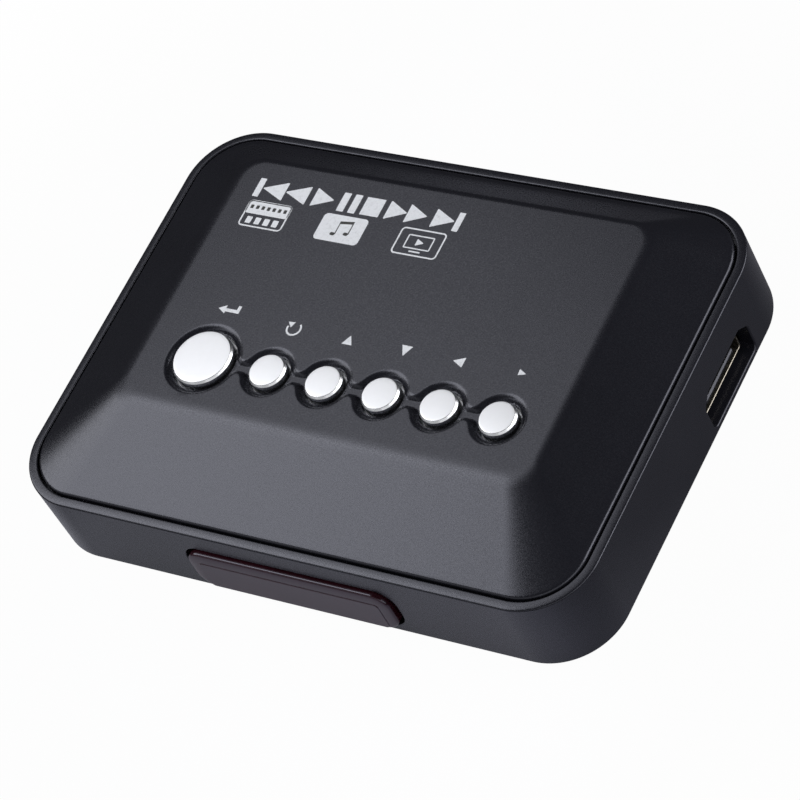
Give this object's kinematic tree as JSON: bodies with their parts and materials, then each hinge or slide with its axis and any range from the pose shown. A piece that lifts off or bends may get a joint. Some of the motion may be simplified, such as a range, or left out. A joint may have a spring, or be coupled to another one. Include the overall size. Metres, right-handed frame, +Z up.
{
  "type": "media player",
  "caption": "Small screenless media player: shallow rounded case with a raised sloped cover, a row of round push keys on top, an infrared window and sockets.",
  "frame": {"origin": "middle of the footprint, window included, on the surface that the feet stand on", "axes": "+X along the case, with the keys running from the large one on the left to the right; +Y from the front, with the infrared window, to the rear; +Z up"},
  "size_m": [0.11, 0.081, 0.0225],
  "materials": {
    "case_plastic": "fine satin grain, black",
    "smoked_window": "polished, dark maroon",
    "key_silver": "satin silver plating on a moulded cap",
    "foot_rubber": "matt, soft",
    "screw_steel": "zinc plated",
    "switch_steel": "stamped cover",
    "circuit_board": "green solder resist",
    "chip": "moulded epoxy",
    "heat_sink": "anodised",
    "capacitor_can": "drawn can",
    "ferrite": "pressed ferrite",
    "tin": "tin plated",
    "lamp_resin": "clear resin",
    "nylon": "moulded nylon"
  },
  "bodies": {
    "case": {"lower_shell": "case_plastic", "top_cover": "case_plastic", "ir_window": "smoked_window", "key_board": "circuit_board", "main_board": "circuit_board", "processor": "chip", "heat_sink": "heat_sink", "memory_chip_1": "chip", "memory_chip_2": "chip", "flash_chip": "chip", "capacitor_1": "capacitor_can", "capacitor_2": "capacitor_can", "power_coil": "ferrite", "crystal": "tin", "ir_sensor": "chip", "status_lamp": "lamp_resin", "link_header": "nylon", "link_socket": "nylon", "video_socket_shell": "tin", "video_socket_tongue": "chip", "data_socket_shell": "tin", "data_socket_tongue": "nylon", "card_socket": "tin", "power_jack": "chip", "power_jack_pin": "tin", "sound_jack": "chip", "key_board_screw_1": "screw_steel", "key_board_screw_2": "screw_steel", "main_board_screw_1": "screw_steel", "main_board_screw_2": "screw_steel", "foot_1": "foot_rubber", "case_screw_1": "screw_steel", "foot_2": "foot_rubber", "case_screw_2": "screw_steel", "foot_3": "foot_rubber", "case_screw_3": "screw_steel", "foot_4": "foot_rubber", "case_screw_4": "screw_steel", "enter_switch": "switch_steel", "return_switch": "switch_steel", "up_switch": "switch_steel", "down_switch": "switch_steel", "left_switch": "switch_steel", "right_switch": "switch_steel"},
    "enter_button": {"enter_key": "key_silver", "enter_plunger": "chip"},
    "return_button": {"return_key": "key_silver", "return_plunger": "chip"},
    "up_button": {"up_key": "key_silver", "up_plunger": "chip"},
    "down_button": {"down_key": "key_silver", "down_plunger": "chip"},
    "left_button": {"left_key": "key_silver", "left_plunger": "chip"},
    "right_button": {"right_key": "key_silver", "right_plunger": "chip"}
  },
  "joints": [
    {"name": "enter_press", "type": "slide", "parent": "case", "child": "enter_button", "axis": [0, 0, -1], "range_m": [0, 0.0004], "stiffness_N_per_m": 150, "springref_m": -0.0005},
    {"name": "return_press", "type": "slide", "parent": "case", "child": "return_button", "axis": [0, 0, -1], "range_m": [0, 0.0004], "stiffness_N_per_m": 150, "springref_m": -0.0005},
    {"name": "up_press", "type": "slide", "parent": "case", "child": "up_button", "axis": [0, 0, -1], "range_m": [0, 0.0004], "stiffness_N_per_m": 150, "springref_m": -0.0005},
    {"name": "down_press", "type": "slide", "parent": "case", "child": "down_button", "axis": [0, 0, -1], "range_m": [0, 0.0004], "stiffness_N_per_m": 150, "springref_m": -0.0005},
    {"name": "left_press", "type": "slide", "parent": "case", "child": "left_button", "axis": [0, 0, -1], "range_m": [0, 0.0004], "stiffness_N_per_m": 150, "springref_m": -0.0005},
    {"name": "right_press", "type": "slide", "parent": "case", "child": "right_button", "axis": [0, 0, -1], "range_m": [0, 0.0004], "stiffness_N_per_m": 150, "springref_m": -0.0005}
  ]
}
